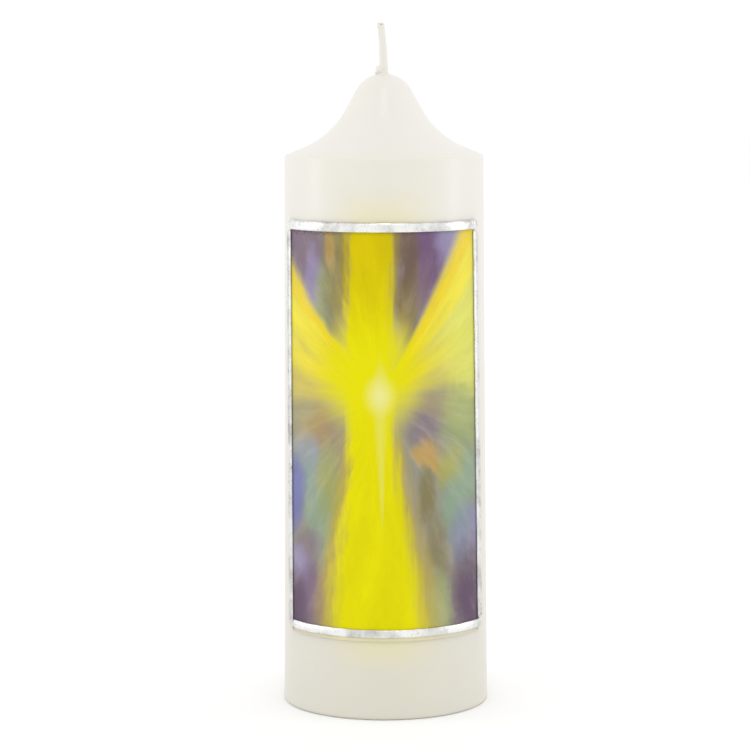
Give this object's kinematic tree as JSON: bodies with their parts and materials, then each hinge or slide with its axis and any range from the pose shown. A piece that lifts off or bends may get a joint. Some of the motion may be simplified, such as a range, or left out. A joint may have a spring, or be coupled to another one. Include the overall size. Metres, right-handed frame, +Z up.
{
  "type": "unity candle",
  "caption": "Ivory pillar candle with a bell-shaped top and a braided wick, dressed with a wrapped picture of a light burst in a frame of silvered wax strips.",
  "frame": {"origin": "middle of the underside, on the surface that the candle stands on", "axes": "+Z up along the candle's axis, -Y towards the picture, +X to the picture's right as seen from the front"},
  "size_m": [0.07, 0.0712, 0.2306],
  "materials": {
    "core_wax": null,
    "coat_wax": null,
    "wick_cotton": "waxed braided cotton",
    "tinplate": "pressed tinplate",
    "backing_wax": null,
    "picture_print": "printed film, satin",
    "silver_foil": "silver foil pressed on wax"
  },
  "bodies": {
    "root": {"wax_core": "core_wax", "dip_coat": "coat_wax", "wick": "wick_cotton", "wick_collar": "coat_wax", "wick_sustainer": "tinplate", "picture_backing": "backing_wax", "picture_film": "picture_print", "strip_top": "silver_foil", "strip_bottom": "silver_foil", "strip_left": "silver_foil", "strip_right": "silver_foil"}
  },
  "joints": []
}
